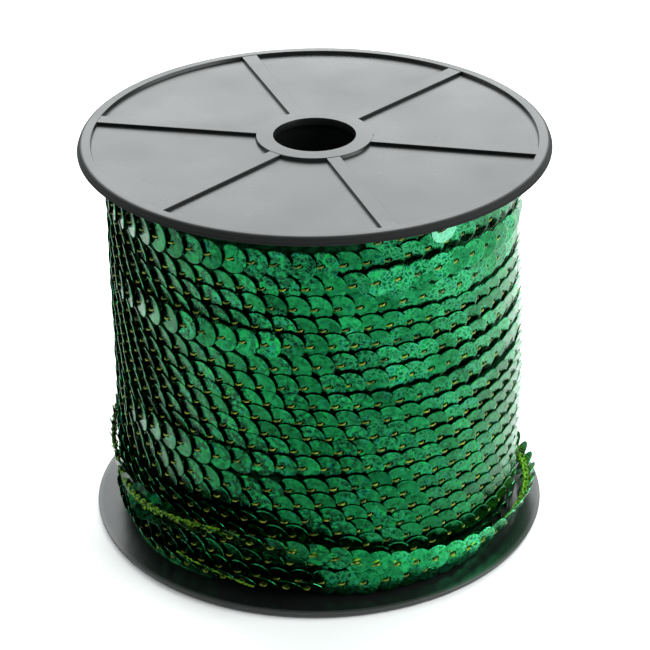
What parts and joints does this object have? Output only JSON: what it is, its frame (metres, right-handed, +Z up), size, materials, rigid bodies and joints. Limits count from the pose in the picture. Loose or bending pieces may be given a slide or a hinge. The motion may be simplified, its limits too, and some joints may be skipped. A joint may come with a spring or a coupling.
{
  "type": "sequin trim on a reel",
  "caption": "Sequin trim wound in ridged turns on a flanged plastic reel, with the last turn lying loose over the lower flange.",
  "frame": {"origin": "on the reel's axis, on the surface that the lower flange stands on", "axes": "+Z up along the reel's axis, -Y towards the viewer, +X to the viewer's right"},
  "size_m": [0.095, 0.095, 0.0846],
  "materials": {
    "top_flange": "black moulded plastic, lightly scuffed",
    "bottom_flange": "black moulded plastic, lightly scuffed",
    "barrel": "black moulded plastic",
    "winding": "green metallic film sequins",
    "loose_turn": "green metallic film sequins"
  },
  "bodies": {
    "root": {"top_flange": "top_flange", "bottom_flange": "bottom_flange", "barrel": "barrel", "winding": "winding", "loose_turn": "loose_turn"}
  },
  "joints": []
}
